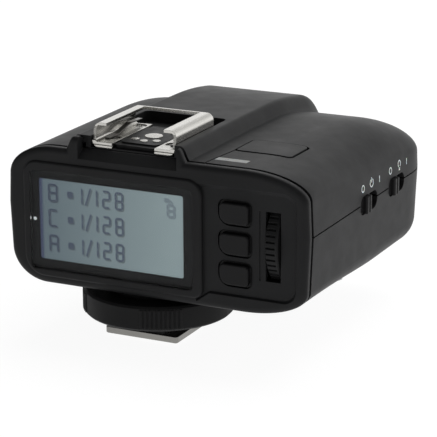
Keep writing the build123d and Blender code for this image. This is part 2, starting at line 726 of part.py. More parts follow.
def assist_opening(grow):
    """Window for the focus assist lamp in the front end."""
    x = (CENTRE_X - 8 - grow, CENTRE_X + 8 + grow)
    z = (31.6 - grow, 36.6 + grow)
    return rounded_block(x, (FRONT_Y - 4, FRONT_Y + 2), z, 2.0, Axis.Y)


def assist_lens():
    lens = assist_opening(0) & block((-20, 40), (FRONT_Y - 2.2, FRONT_Y - 0.1), (30, 40))
    flange = rounded_block(
        (CENTRE_X - 9, CENTRE_X + 9), (FRONT_Y - 2.4, FRONT_Y - WALL - 0.2), (30.8, 37.4), 2.4, Axis.Y
    )
    return lens + flange


def assist_led():
    return rod(2.2, (CENTRE_X, 50.6, 34.1), (CENTRE_X, FRONT_Y - 2.6, 34.1))


# ---------------------------------------------------------------- slide switches
def slider(centre_y):
    """Knob with two ridges on a plate that fills part of the slot, with a flange behind the wall."""
    low = centre_y - SLOT_L / 2 + SLIDER_GAP
    middle = low + SLIDER_L / 2
    inner_wall = RIGHT_X - WALL
    x, z = (inner_wall - 0.5, RIGHT_X - 0.35), widened(SLOT_Z, -0.2)
    moving = rounded_block(x, (low, low + SLIDER_L), z, SLOT_CORNER_R - 0.2, Axis.X)
    for start in (middle - KNOB_L / 2, middle):
        ridge = (start + 0.05, start + KNOB_L / 2 - 0.05)
        moving += rounded_block((RIGHT_X - 1, RIGHT_X + KNOB_PROUD), ridge, z, 0.5)
    moving += block((RIGHT_X - 1, RIGHT_X + 0.3), (middle - 0.6, middle + 0.6), z)
    flange_y = (low - 2.2, low + SLIDER_L + 2.2)
    return moving + block((inner_wall - 0.9, inner_wall - 0.3), flange_y, widened(SLOT_Z, 0.9))


def switch_body(centre_y):
    """Housing of a slide switch, behind the slider's flange."""
    x1 = RIGHT_X - WALL - 1.2
    return block((x1 - 3.2, x1), (centre_y - 5.5, centre_y + 5.5), (SLOT_Z[0] - 0.3, SLOT_Z[1] + 0.3))


def switch_board():
    return block((35.9, 36.9), (13.4, 43.0), (21.0, 37.5))


# ---------------------------------------------------------------- accessory shoe
def shoe_frame():
    """Bent sheet: two rails, their outer walls, two floor flanges and a band across the back."""
    half = SHOE_W / 2
    outer = rounded_block((-half, half), (FLANGE_FRONT_Y, SHOE_END_Y), (SHOE_FLOOR_Z, SHOE_TOP_Z), 1.6, Axis.Y)
    inner = rounded_block(
        (-half + SHEET, half - SHEET), (FLANGE_FRONT_Y - 1, SHOE_END_Y + 1),
        (SHOE_FLOOR_Z + FLANGE_T, SHOE_TOP_Z - SHEET), 0.7, Axis.Y,
    )
    frame = outer - inner
    mouth = half - RAIL_W
    mouth_y = (FLANGE_FRONT_Y - 1, SHOE_END_Y - SHOE_BAND_W)
    frame -= block((-mouth, mouth), mouth_y, (SHOE_TOP_Z - 2, SHOE_TOP_Z + 1))
    gap = half - FLANGE_W
    frame -= block((-gap, gap), (FLANGE_FRONT_Y - 1, SHOE_END_Y + 1), (SHOE_FLOOR_Z - 1, SHOE_FLOOR_Z + 2))
    hem = (SHOE_FLOOR_Z + (FLANGE_T - HEM_GROOVE) / 2, SHOE_FLOOR_Z + (FLANGE_T + HEM_GROOVE) / 2)
    frame -= block((-half, half), (FLANGE_FRONT_Y - 1, FLANGE_FRONT_Y + 0.5), hem)
    front = [
        (FLANGE_FRONT_Y - 1, SHOE_FLOOR_Z + 1.6), (FLANGE_FRONT_Y + 0.5, SHOE_FLOOR_Z + 1.6),
        (SHOE_FRONT_Y, SHOE_TOP_Z - 0.9), (SHOE_FRONT_Y, SHOE_TOP_Z + 1), (FLANGE_FRONT_Y - 1, SHOE_TOP_Z + 1),
    ]
    frame -= along_x(front, -half - 1, half + 1)
    for x, y in SHOE_SCREWS:
        frame -= rod(0.95, (x, y, SHOE_FLOOR_Z - 1), (x, y, SHOE_FLOOR_Z + 2))
        frame -= rod(1.6, (x, y, SHOE_FLOOR_Z + SHEET), (x, y, SHOE_FLOOR_Z + 2))
    return frame


def shoe_springs():
    """A leaf in each side of the shoe that presses a foot against the rails."""
    leaves = []
    base, thick = SHOE_FLOOR_Z + FLANGE_T + 0.3, 0.25
    profile = [(-8.6, base), (-4.3, base), (1.8, base + 1.3), (7.4, base + 1.0)]
    under = [(y, z - thick) for y, z in reversed(profile)]
    for x in (-SHOE_W / 2 + 1.45, SHOE_W / 2 - 2.65):
        leaves.append(along_x(profile + under, x, x + 1.2))
    return group(leaves)


def shoe_contact_block():
    """Insulating block between the floor flanges, with a raised pad for the contacts."""
    gap = SHOE_W / 2 - FLANGE_W - 0.1
    base = rounded_block((-gap, gap), (-10.8, SHOE_END_Y), (SHOE_FLOOR_Z + 0.02, SHOE_FLOOR_Z + 0.9), 0.8)
    pad = rounded_block((-gap + 0.3, gap - 0.3), (-9.2, 5.6), (SHOE_FLOOR_Z + 0.5, SHOE_FLOOR_Z + 1.25), 1.6)
    pad_block = base + pad
    for x, y, radius in SHOE_PADS:
        pad_block -= rod(radius + 0.02, (x, y, SHOE_FLOOR_Z), (x, y, SHOE_FLOOR_Z + 3))
    return pad_block


def shoe_contacts():
    """Domed contacts set in the block: one large for the sync signal and four small ones."""
    contacts = []
    for x, y, radius in SHOE_PADS:
        contact = rod(radius, (x, y, SHOE_FLOOR_Z + 0.05), (x, y, SHOE_FLOOR_Z + 1.4))
        top = contact.edges().sort_by(Axis.Z)[-1]
        contacts.append(fillet([top], 0.12))
    return group(contacts)


def screw(head_r, head_h, shank_r, length, place, up=True):
    """Pan-head screw; `place` is under its head, and the shank runs up or down from there."""
    x, y, z = place
    way = 1 if up else -1
    head = rod(head_r, (x, y, z), (x, y, z - way * head_h))
    shank = rod(shank_r, (x, y, z - 0.01 * way), (x, y, z + way * length))
    slot = block((x - head_r * 0.7, x + head_r * 0.7), (y - 0.15, y + 0.15), (z - head_h * 1.2, z + head_h * 1.2))
    cross = block((x - 0.15, x + 0.15), (y - head_r * 0.7, y + head_r * 0.7), (z - head_h * 1.2, z + head_h * 1.2))
    deep = z - way * head_h * 0.5
    far = z - way * (head_h + 1)
    drive = (slot + cross) & block((x - 5, x + 5), (y - 5, y + 5), (min(deep, far), max(deep, far)))
    return head + shank - drive


def shoe_screws():
    seat = SHOE_FLOOR_Z + SHEET
    return group(screw(1.5, 0.4, 0.78, 1.8 + SHEET, (x, y, seat), up=False) for x, y in SHOE_SCREWS)


# ---------------------------------------------------------------- foot and lock
def foot_plate():
    """Metal foot; the wide edges go under a camera shoe's rails."""
    x, y = (-FOOT_W / 2, FOOT_W / 2), (-FOOT_L / 2, FOOT_L / 2)
    plate = rounded_block(x, y, (0, FOOT_T), FOOT_CORNER_R)
    plate = chamfer(plate.edges().group_by(Axis.Z)[0], 0.2)
    plate -= rounded_block((-5.6, 5.6), (-2.2, 6.4), (-1, FOOT_T + 1), 1.0)
    plate -= rod(LOCK_PIN_R + 0.05, (0, LOCK_PIN_Y, -1), (0, LOCK_PIN_Y, 3))
    for x, y in FOOT_SCREWS:
        plate -= rod(0.85, (x, y, -1), (x, y, 3))
        plate -= rod(1.5, (x, y, -1), (x, y, 0.8))
    return plate


def foot_insulator():
    """Black insert that keeps the contact pins apart from the metal foot."""
    insert = rounded_block((-5.55, 5.55), (-2.15, 6.35), (0.05, FOOT_T - 0.02), 0.95)
    for _, x, y, radius in PINS:
        insert -= rod(radius + 0.05, (x, y, -1), (x, y, 3))
    return insert


def foot_passages():
    """Bores for the contact pins' sleeves, the lock pin and the foot's screws."""
    bores = [rod(radius + 0.32, (x, y, 0), (x, y, 11.0)) for _, x, y, radius in PINS]
    bores.append(rod(LOCK_PIN_R + 0.05, (0, LOCK_PIN_Y, 0), (0, LOCK_PIN_Y, NECK_LOW_Z + 1.5)))
    bores += [rod(0.82, (x, y, 0), (x, y, 9.5)) for x, y in FOOT_SCREWS]
    return bores


def foot_stem():
    """Stem between the camera shoe's rails; the washer is keyed to its four sides."""
    x, y = (-STEM_HALF_X, STEM_HALF_X), (-STEM_HALF_Y, STEM_HALF_Y)
    return rounded_block(x, y, (FOOT_T, NECK_LOW_Z - 0.02), 0.8) - foot_passages()


def ring_neck():
    """Round neck that the lock ring turns on, with a spigot into the housing."""
    neck = rod(NECK_R, (0, 0, NECK_LOW_Z), (0, 0, BOTTOM_Z - 0.02))
    neck += rod(SPIGOT_R, (0, 0, BOTTOM_Z - 0.1), (0, 0, BOTTOM_Z + WALL + 1.4))
    return neck - foot_passages()


def pin_barrels():
    """Sleeves that guide the spring-loaded contact pins."""
    barrels = []
    for _, x, y, radius in PINS:
        barrel = rod(radius + 0.3, (x, y, FOOT_T + 0.05), (x, y, 10.8))
        barrels.append(barrel - rod(radius + 0.05, (x, y, 0), (x, y, 10.2)))
    return group(barrels)


def contact_pin(x, y, radius):
    pin = rod(radius, (x, y, -PIN_PROUD), (x, y, 7.5))
    return fillet([pin.edges().sort_by(Axis.Z)[0]], radius * 0.45)


def lock_pin():
    """Drops into a camera shoe's hole when the ring is tightened."""
    pin = rod(LOCK_PIN_R, (0, LOCK_PIN_Y, 0.4), (0, LOCK_PIN_Y, NECK_LOW_Z + 1.2))
    return chamfer([pin.edges().sort_by(Axis.Z)[0]], 0.25)


def clamp_washer():
    """Keyed washer that the ring presses down on a camera shoe's rails."""
    top = RING_LOW_Z - 0.08
    washer = rod(WASHER_R, (0, 0, top - WASHER_T), (0, 0, top))
    hole = block((-STEM_HALF_X - 0.15, STEM_HALF_X + 0.15), (-STEM_HALF_Y - 0.15, STEM_HALF_Y + 0.15), (0, 10))
    return washer - hole


def lock_ring():
    """Knurled ring on the neck: four sectors of ribs with plain arcs between them."""
    z0, z1 = RING_LOW_Z, RING_LOW_Z + RING_H
    ring = rod(RING_R - 0.3, (0, 0, z0), (0, 0, z1))
    ring = chamfer(ring.edges().filter_by(GeomType.CIRCLE), 0.5)
    rib_line = RING_R - RIB_R
    for sector in range(RIB_SECTORS):
        for index in range(RIB_COUNT):
            turn = index - (RIB_COUNT - 1) / 2
            angle = RIB_CENTRE + 2 * math.pi * sector / RIB_SECTORS + RIB_PITCH * turn
            x, y = rib_line * math.cos(angle), rib_line * math.sin(angle)
            ring += rod(RIB_R, (x, y, z0 + 0.7), (x, y, z1 - 0.7))
    return ring - rod(NECK_R + RUNNING, (0, 0, z0 - 1), (0, 0, z1 + 1))


def foot_screws():
    return group(screw(1.4, 0.6, 0.8, 7.6, (x, y, 0.8)) for x, y in FOOT_SCREWS)


def case_screws():
    seat = BOTTOM_Z + 3.2
    length = SEAM_Z - seat + 5.5
    return group(screw(1.8, 1.2, 0.88, length, (x, y, seat)) for x, y in CASE_SCREWS)


# ---------------------------------------------------------------- boards and sockets
def main_board():
    board = block((-22.4, 30.6), (-1.5, 50.0), (MAIN_BOARD_Z, MAIN_BOARD_Z + BOARD_T))
    for x, y in ((-20.0, 1.0), (-20.0, 47.5), (28.0, 47.5)):
        board -= rod(1.1, (x, y, 30), (x, y, 40))
    return board


def radio_module():
    """Small board with a shield can, on the main board."""
    z = MAIN_BOARD_Z + BOARD_T + 0.02
    base = block((-18.0, -2.0), (24.0, 44.0), (z, z + 0.8))
    can = rounded_block((-17.0, -3.0), (25.0, 38.0), (z + 0.7, z + 2.6), 0.6)
    return base + can


def board_parts():
    """Processor, flash memory and power parts on the main board."""
    z = MAIN_BOARD_Z + BOARD_T + 0.02
    return group(block(x, y, (z, z + height)) for x, y, height in BOARD_PARTS)


def usb_outline(x, grow):
    y = (USB_Y - 3.75 - grow, USB_Y + 3.75 + grow)
    z = (USB_Z - 1.3 - grow, USB_Z + 1.3 + grow)
    return rounded_block(x, y, z, 0.9, Axis.X)


def usb_socket():
    """Service socket for firmware, flush with the left wall."""
    mouth = LEFT_X + 0.5
    case = usb_outline((mouth, mouth + 5.4), 0)
    inside_y, inside_z = (USB_Y - 3.4, USB_Y + 3.4), (USB_Z - 0.95, USB_Z + 0.95)
    case -= rounded_block((mouth - 1, mouth + 4.8), inside_y, inside_z, 0.6, Axis.X)
    tongue = block((mouth + 1.0, mouth + 5.0), (USB_Y - 2.0, USB_Y + 2.0), (USB_Z - 0.25, USB_Z + 0.25))
    return case + tongue


def sync_jack():
    """Socket for a sync lead; its collar stands in the left wall."""
    body = block((LEFT_X + WALL + 0.5, LEFT_X + 7.2), (JACK_Y - 3.2, JACK_Y + 3.2), (JACK_Z - 2.6, JACK_Z + 2.6))
    collar = rod(2.9, (LEFT_X + 0.35, JACK_Y, JACK_Z), (LEFT_X + WALL + 1, JACK_Y, JACK_Z))
    return body + collar - rod(JACK_R, (LEFT_X, JACK_Y, JACK_Z), (LEFT_X + 7.2, JACK_Y, JACK_Z))


def socket_board():
    return block((LEFT_X + 7.3, LEFT_X + 8.3), (4.0, 20.8), (17.0, 31.0))


# ---------------------------------------------------------------- battery bay
def battery_tray():
    outer = block(TRAY_X, TRAY_Y, TRAY_Z)
    inner = block((TRAY_X[0] + 1, TRAY_X[1] - 1), (TRAY_Y[0] + 0.9, TRAY_Y[1] - 0.9), (TRAY_Z[0] - 1, TRAY_Z[1] - 1))
    inside = half_housing(lower_edges, -WALL - 0.12, SEAM_Z + 2)
    return (outer - inner) & inside


def battery_cells():
    """Two AA cells laid left to right, each with its button end to the other's flat end."""
    cells = []
    for y, flip in zip(CELL_Y, (1, -1)):
        middle = sum(CELL_X) / 2
        half = CELL_L / 2
        can = rod(CELL_R, (middle - half * flip, y, CELL_Z), (middle + (half - 1.2) * flip, y, CELL_Z))
        button = rod(2.6, (middle + (half - 1.3) * flip, y, CELL_Z), (middle + half * flip, y, CELL_Z))
        cells.append(can + button)
    return group(cells)


def battery_contacts():
    """Plates against the tray's end walls that join the cells."""
    z = (CELL_Z - 4, CELL_Z + 4)
    left_x, right_x = TRAY_X[0] + 1.05, TRAY_X[1] - 1.05
    left = [block((left_x, left_x + 0.4), (y - 4, y + 4), z) for y in CELL_Y]
    right = block((right_x - 0.4, right_x), (CELL_Y[0] - 4, CELL_Y[1] + 4), z)
    return group([*left, right])


def battery_springs():
    """Coil against the flat end of each cell."""
    springs = []
    wire_r, coil_r, turns = 0.3, 3.2, 3
    for y, side in zip(CELL_Y, (-1, 1)):
        flat_end = sum(CELL_X) / 2 + side * CELL_L / 2
        plate = TRAY_X[0] + 1.45 if side < 0 else TRAY_X[1] - 1.45
        room = abs(plate - flat_end) - 2 * wire_r - 0.1
        start = min(plate, flat_end) + wire_r + 0.05
        path = Helix(room / turns, room, coil_r)
        coil = sweep(Plane(path @ 0, z_dir=path % 0) * Circle(wire_r), path=path, is_frenet=True)
        springs.append(Location((start, y, CELL_Z), (0, 90, 0)) * coil)
    return group(solid for spring in springs for solid in spring.solids())


# ---------------------------------------------------------------- all nodes
NODES = {
    "face_plate": face_plate,
    "upper_shell": upper_shell,
    "lower_shell": lower_shell,
    "battery_door": battery_door,
    "door_hinge_pin": door_hinge_pin,
    "display_window": display_window,
    "lcd_panel": lcd_panel,
    "backlight": backlight,
    "display_board": display_board,
    "key_top": lambda: face_key(0),
    "key_middle": lambda: face_key(1),
    "key_bottom": lambda: face_key(2),
    "key_switches": key_switches,
    "selector_wheel": selector_wheel,
    "wheel_shaft": wheel_shaft,
    "encoder": encoder,
    "wheel_bracket": wheel_bracket,
    "test_key": test_key,
    "test_switch": test_switch,
    "status_light_pipe": status_light_pipe,
    "assist_lens": assist_lens,
    "assist_led": assist_led,
    "power_slider": lambda: slider(POWER_SLOT_Y),
    "lamp_slider": lambda: slider(LAMP_SLOT_Y),
    "power_switch_body": lambda: switch_body(POWER_SLOT_Y),
    "lamp_switch_body": lambda: switch_body(LAMP_SLOT_Y),
    "switch_board": switch_board,
    "shoe_frame": shoe_frame,
    "shoe_springs": shoe_springs,
    "shoe_contact_block": shoe_contact_block,
    "shoe_contacts": shoe_contacts,
    "shoe_screws": shoe_screws,
    "foot_plate": foot_plate,
    "foot_insulator": foot_insulator,
    "foot_stem": foot_stem,
    "ring_neck": ring_neck,
    "pin_barrels": pin_barrels,
    "lock_pin": lock_pin,
    "clamp_washer": clamp_washer,
    "lock_ring": lock_ring,
    "foot_screws": foot_screws,
    "case_screws": case_screws,
    "main_board": main_board,
    "radio_module": radio_module,
    "board_parts": board_parts,
    "usb_socket": usb_socket,
    "sync_jack": sync_jack,
    "socket_board": socket_board,
    "battery_tray": battery_tray,
    "battery_cells": battery_cells,
    "battery_contacts": battery_contacts,
    "battery_springs": battery_springs,
}
for pin_name, pin_x, pin_y, pin_r in PINS:
    NODES["contact_pin_" + pin_name] = lambda x=pin_x, y=pin_y, r=pin_r: contact_pin(x, y, r)

os.makedirs("parts", exist_ok=True)
for node, build in NODES.items():
    export_step(build(), os.path.join("parts", node + ".step"))
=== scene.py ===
"""Looks of a wireless flash trigger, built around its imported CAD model. Lengths are in metres."""

import json
import math

import bmesh
import bpy
from mathutils import Matrix, Vector
from mathutils.bvhtree import BVHTree


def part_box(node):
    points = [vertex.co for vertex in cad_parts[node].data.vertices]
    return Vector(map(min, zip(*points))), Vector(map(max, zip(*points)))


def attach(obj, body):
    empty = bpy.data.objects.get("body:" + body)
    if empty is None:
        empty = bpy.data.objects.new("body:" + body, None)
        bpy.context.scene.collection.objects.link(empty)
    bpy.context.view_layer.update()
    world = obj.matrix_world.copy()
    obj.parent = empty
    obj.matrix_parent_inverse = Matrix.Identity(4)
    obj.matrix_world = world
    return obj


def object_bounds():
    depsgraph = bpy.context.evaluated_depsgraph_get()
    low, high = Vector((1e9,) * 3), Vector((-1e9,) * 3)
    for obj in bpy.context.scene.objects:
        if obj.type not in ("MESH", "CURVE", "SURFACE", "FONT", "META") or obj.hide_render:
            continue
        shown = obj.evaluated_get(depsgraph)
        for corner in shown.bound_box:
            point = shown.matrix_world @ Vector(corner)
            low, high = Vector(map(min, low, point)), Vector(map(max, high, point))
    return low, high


MM = 0.001

# Camera, fitted to the photograph's viewing angle
CAMERA_AZIMUTH = math.radians(25.96)
CAMERA_ELEVATION = math.radians(16.42)
CAMERA_ROLL = math.radians(0.24)
CAMERA_DISTANCE = 492.27 * MM
CAMERA_OFFSET_RIGHT = 13.75 * MM
CAMERA_OFFSET_UP = 24.94 * MM
CAMERA_LENS_MM = 174.2

# Floor, studio and lights
FLOOR_HALF = 6.0
FLOOR_GLOW = 0.93
FLOOR_GREY = (0.16, 0.16, 0.16, 1.0)
STUDIO_DARK = 0.30
STUDIO_BRIGHT = 1.35
STUDIO_TOP_SHARE = 0.35
STUDIO_LEFT_SHARE = 0.22
FLOOR_DROP = 0.02 * MM
LIGHT_TARGET = (7 * MM, 20 * MM, 25 * MM)
OVERHEAD_PLACE, OVERHEAD_SIZE = (0.05, 0.35, 0.75), (0.8, 0.5)
OVERHEAD_WATTS = 3.0
RIGHT_PLACE, RIGHT_SIZE = (0.85, 0.25, 0.40), (0.5, 0.5)
RIGHT_WATTS = 1.0

# Display
DISPLAY_ROWS_Z = (33.6, 27.65, 21.6)
DIGIT_HEIGHT = 4.2
DIGIT_WIDTH = 2.15
STROKE = 0.46
APERTURE_X = (-22.8, 13.7)
APERTURE_Z = (17.75, 36.7)
MARK_X = -20.6
MARK_WIDTH = 2.5
SQUARE_X = (-15.6, -14.1)
SQUARE_HALF = 0.75
SQUARE_CORNER_R = 0.3
DIGITS_X = (-13.7, -9.9, -6.65, -3.4)
SLASH_X = (-10.9, -9.5)
SHADOW_DROP = 0.3
STATUS_DOT = (-24.1, 27.0)
STATUS_DOT_R = 0.42
STATUS_DOT_POINTS = 24
LABEL_FIGURE_X, LABEL_FIGURE_Z = 9.6, 33.0
LABEL_FIGURE_HEIGHT, LABEL_FIGURE_WIDTH = 3.2, 2.1
LABEL_BARS_X = 8.9
LABEL_BARS = ((35.6, 1.5), (35.1, 2.2))
LABEL_BAR_STROKE = 0.3
# The display's glow is painted light, standing in for the light that reaches the panel and its figures
# through the window.
DISPLAY_PAINTED_GLOW = 0.80

# The display is darker and bluer towards its left edge; these are where its tones change, as x
PANEL_TONES_X = (-24, 12)
LEFT_EDGE_X = (-22.3, -21.8)
MARKS_TO_DIGITS_X = (-19, -12)
DIGITS_TO_LABEL_X = (2, 8)

# Depths of the display's layers: the print from the window's back, the ink from the panel's front
PRINT_DEPTH = (0.012, 0.036)
DOT_DEPTH = (-0.008, -0.002)
FIGURE_DEPTH = (-0.06, -0.04)
SHADOW_DEPTH = (-0.03, -0.01)
WINDOW_CORNER_R = 1.1
APERTURE_CORNER_R = 0.5
WINDOW_TINT = (0.97, 0.985, 0.99, 1.0)

# The cell's end band starts here, as x
CELL_BAND_X = (17.9, 18.1)

# Symbols beside the slide switches, as (y, z) on the right side, each about this tall
SYMBOL_SIZE = 1.5
ICON_SIZE = 1.9
SYMBOL_STROKE = 0.26
OFF_SYMBOLS = ((16.1, 34.2), (33.0, 34.3))
ON_SYMBOLS = ((26.1, 34.1), (43.3, 34.2))
POWER_SYMBOL = (21.3, 34.4)
LAMP_SYMBOL = (38.6, 34.5)

# Thickness of printed ink above a surface, and how far it sinks in
INK_PROUD = 0.025
INK_SUNK = 0.01

# Segments of a digit: a top, b upper right, c lower right, d bottom, e lower left, f upper left, g middle
SEGMENTS = {
    "1": "bc", "2": "abged", "8": "abcdefg", "b": "abcdefg", "C": "adef", "A": "abcefg",
}

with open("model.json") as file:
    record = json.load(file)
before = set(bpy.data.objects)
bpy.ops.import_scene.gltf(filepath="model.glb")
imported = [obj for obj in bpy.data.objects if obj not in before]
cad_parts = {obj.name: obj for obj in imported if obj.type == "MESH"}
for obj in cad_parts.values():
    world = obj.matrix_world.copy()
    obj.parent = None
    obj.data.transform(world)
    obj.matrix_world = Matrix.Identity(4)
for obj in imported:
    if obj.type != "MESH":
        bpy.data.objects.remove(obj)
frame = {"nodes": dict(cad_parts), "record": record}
cad_bounds = [list(corner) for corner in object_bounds()]
nodes = frame["nodes"]


# ---------------------------------------------------------------- material helpers
class Surface:
    """A Principled material and the few node patterns this object's surfaces share."""

    def __init__(self, name, roughness=0.5, metallic=0.0, **sockets):
        self.material = bpy.data.materials.new(name)
        self.material.use_nodes = True
        self.tree = self.material.node_tree
        self.shader = self.tree.nodes["Principled BSDF"]
        self.shader.inputs["Roughness"].default_value = roughness
        self.shader.inputs["Metallic"].default_value = metallic
        for socket, value in sockets.items():
            self.shader.inputs[socket.replace("_", " ")].default_value = value
        self.place = self.tree.nodes.new("ShaderNodeTexCoord").outputs["Object"]
        self.normal = None

    def link(self, output, socket):
        self.tree.links.new(output, self.shader.inputs[socket])

    def noise(self, scale, detail=2.0, stretch=(1.0, 1.0, 1.0)):
        """Noise whose cells are 1/scale metres; stretch scales its axes."""
        mapping = self.tree.nodes.new("ShaderNodeMapping")
        mapping.inputs["Scale"].default_value = stretch
        texture = self.tree.nodes.new("ShaderNodeTexNoise")
        texture.inputs["Scale"].default_value = scale
        texture.inputs["Detail"].default_value = detail
        self.tree.links.new(self.place, mapping.inputs["Vector"])
        self.tree.links.new(mapping.outputs["Vector"], texture.inputs["Vector"])
        return texture.outputs["Fac"]

    def span(self, value, low, high, start=0.3, end=0.7):
        """Map a factor that runs from start to end onto low to high."""
        node = self.tree.nodes.new("ShaderNodeMapRange")
        node.inputs["From Min"].default_value = start
        node.inputs["From Max"].default_value = end
        node.inputs["To Min"].default_value = low
        node.inputs["To Max"].default_value = high
        self.tree.links.new(value, node.inputs["Value"])
        return node.outputs["Result"]

    def position(self, coordinate, limits):
        """A factor that goes from 0 to 1 between two positions in millimetres."""
        return self.span(coordinate, 0.0, 1.0, limits[0] * MM, limits[1] * MM)

    def blend(self, factor, first, second):
        """Mix two colours, each a colour or an output, by a factor."""
        node = self.tree.nodes.new("ShaderNodeMix")
        node.data_type = "RGBA"
        self.tree.links.new(factor, node.inputs["Factor"])
        for socket, colour in (("A", first), ("B", second)):
            target = [s for s in node.inputs if s.name == socket and s.type == "RGBA"][0]
            if isinstance(colour, tuple):
                target.default_value = (*colour, 1.0)
            else:
                self.tree.links.new(colour, target)
        return [s for s in node.outputs if s.type == "RGBA"][0]

    def soft_edges(self, radius):
        """Round the shading of hard edges, and return how near an edge each point is, from 0 to 1."""
        bevel = self.tree.nodes.new("ShaderNodeBevel")
        bevel.samples = 6
        bevel.inputs["Radius"].default_value = radius
        self.normal = bevel.outputs["Normal"]
        flat = self.tree.nodes.new("ShaderNodeNewGeometry").outputs["Normal"]
        dot = self.tree.nodes.new("ShaderNodeVectorMath")
        dot.operation = "DOT_PRODUCT"
        self.tree.links.new(self.normal, dot.inputs[0])
        self.tree.links.new(flat, dot.inputs[1])
        return self.span(dot.outputs["Value"], 1.0, 0.0, 0.82, 0.995)

    def bump(self, height, depth, strength=1.0):
        """Add relief of that depth to the surface."""
        node = self.tree.nodes.new("ShaderNodeBump")
        node.inputs["Strength"].default_value = strength
        node.inputs["Distance"].default_value = depth
        self.tree.links.new(height, node.inputs["Height"])
        if self.normal is not None:
            self.tree.links.new(self.normal, node.inputs["Normal"])
        self.normal = node.outputs["Normal"]

    def finish(self):
        if self.normal is not None:
            self.link(self.normal, "Normal")
        return self.material


def moulded(name, dark, light, grain=4200, depth=0.003, rough=(0.44, 0.50), edge=0.2, specular=0.12):
    """Moulded plastic: fine spark grain, cloudy tone, and smoother edges painted paler, partly as wear and
    partly as painted highlight.
    """
    surface = Surface(name, **{"Specular_IOR_Level": specular})
    edge_wear_and_highlight = surface.soft_edges(edge * MM)
    cloud = surface.noise(90, 4)
    tone = surface.blend(surface.span(cloud, 0.0, 1.0), dark, light)
    fine = surface.noise(grain, 3)
    speckle = surface.blend(surface.span(fine, 0.0, 0.25, 0.45, 0.75), tone, tuple(1.5 * c for c in light))
    rubbed_and_highlit = tuple(1.7 * c + 0.006 for c in light)
    # Edges are painted paler here: part wear, part painted highlight along the edges.
    surface.link(surface.blend(surface.span(edge_wear_and_highlight, 0.0, 0.5, 0.0, 1.0), speckle, rubbed_and_highlit), "Base Color")
    surface.link(surface.span(surface.noise(260, 3), *rough), "Roughness")
    surface.bump(fine, depth * MM, 0.5)
    return surface.finish()


def metal(name, dark, light, rough=(0.22, 0.28), brush=(1.0, 1.0, 1.0), edge=0.12, relief=0.0003):
    """Plated or plain metal with fine brushing along the short axis of brush, and edges painted paler, partly
    as wear and partly as painted highlight.
    """
    surface = Surface(name, metallic=1.0)
    edge_wear_and_highlight = surface.soft_edges(edge * MM)
    streaks = surface.noise(3200, 3, brush)
    tone = surface.blend(surface.span(surface.noise(60, 3), 0.0, 1.0), dark, light)
    # Edges are painted paler here: part wear, part painted highlight along the edges.
    surface.link(surface.blend(surface.span(edge_wear_and_highlight, 0.0, 0.5, 0.0, 1.0), tone, light), "Base Color")
    surface.link(surface.span(streaks, *rough), "Roughness")
    surface.bump(streaks, relief * MM, 0.4)
    return surface.finish()


def clear_window():
    """Coated acrylic that reflects little, with a faint unevenness."""
    surface = Surface("window_acrylic", Transmission_Weight=1.0, IOR=1.12, Base_Color=WINDOW_TINT)
    surface.link(surface.span(surface.noise(240, 3), 0.02, 0.07), "Roughness")
    surface.bump(surface.noise(60, 1), 0.001 * MM, 0.2)
    return surface.finish()


def display_glass():
    """Liquid-crystal panel that glows as painted light, standing in for the light that reaches it through the
    window: bluer and darker to the left, paler to the right.
    """
    surface = Surface("lcd_glass", roughness=0.35, Specular_IOR_Level=0.1)
    split = surface.tree.nodes.new("ShaderNodeSeparateXYZ")
    surface.tree.links.new(surface.place, split.inputs["Vector"])
    across = surface.position(split.outputs["X"], PANEL_TONES_X)
    tone = surface.blend(across, (0.100, 0.132, 0.150), (0.246, 0.305, 0.314))
    # Darker towards the display's left edge.
    left_edge_band = surface.position(split.outputs["X"], LEFT_EDGE_X)
    left_edge_darkened = surface.blend(left_edge_band, (0.050, 0.060, 0.105), tone)
    mottled = surface.blend(surface.span(surface.noise(220, 3), 0.0, 0.08), left_edge_darkened, (0.09, 0.13, 0.17))
    # The panel's colour is darkened, and it glows in its own tone instead: painted light in place of light
    # through the window.
    surface.link(surface.blend(surface.span(across, 0.7, 0.7), mottled, (0.0, 0.0, 0.0)), "Base Color")
    surface.link(mottled, "Emission Color")
    surface.shader.inputs["Emission Strength"].default_value = DISPLAY_PAINTED_GLOW
    surface.link(surface.span(surface.noise(900, 2), 0.3, 0.4), "Roughness")
    return surface.finish()


def translucent(name, colour, emission=0.0, rough=(0.25, 0.4)):
    """White or tinted plastic that light passes a little way into."""
    surface = Surface(name, Subsurface_Weight=0.25, Subsurface_Scale=0.4 * MM)
    shade = tuple(0.86 * c for c in colour)
    surface.link(surface.blend(surface.span(surface.noise(300, 3), 0.0, 1.0), shade, colour), "Base Color")
    surface.shader.inputs["Emission Color"].default_value = (*colour, 1.0)
    surface.shader.inputs["Emission Strength"].default_value = emission
    surface.link(surface.span(surface.noise(800, 2), *rough), "Roughness")
    surface.bump(surface.noise(2500, 2), 0.003 * MM, 0.4)
    return surface.finish()


def lens_red():
    """Deep red lens with moulded horizontal ribs behind a polished face."""
    surface = Surface("lens_red", roughness=0.12, Coat_Weight=0.6, Coat_Roughness=0.05)
    ribs = surface.tree.nodes.new("ShaderNodeTexWave")
    ribs.bands_direction = "Z"
    ribs.inputs["Scale"].default_value = 260
    surface.tree.links.new(surface.place, ribs.inputs["Vector"])
    surface.link(surface.blend(ribs.outputs["Fac"], (0.045, 0.002, 0.004), (0.16, 0.006, 0.01)), "Base Color")
    surface.bump(ribs.outputs["Fac"], 0.02 * MM, 0.5)
    return surface.finish()


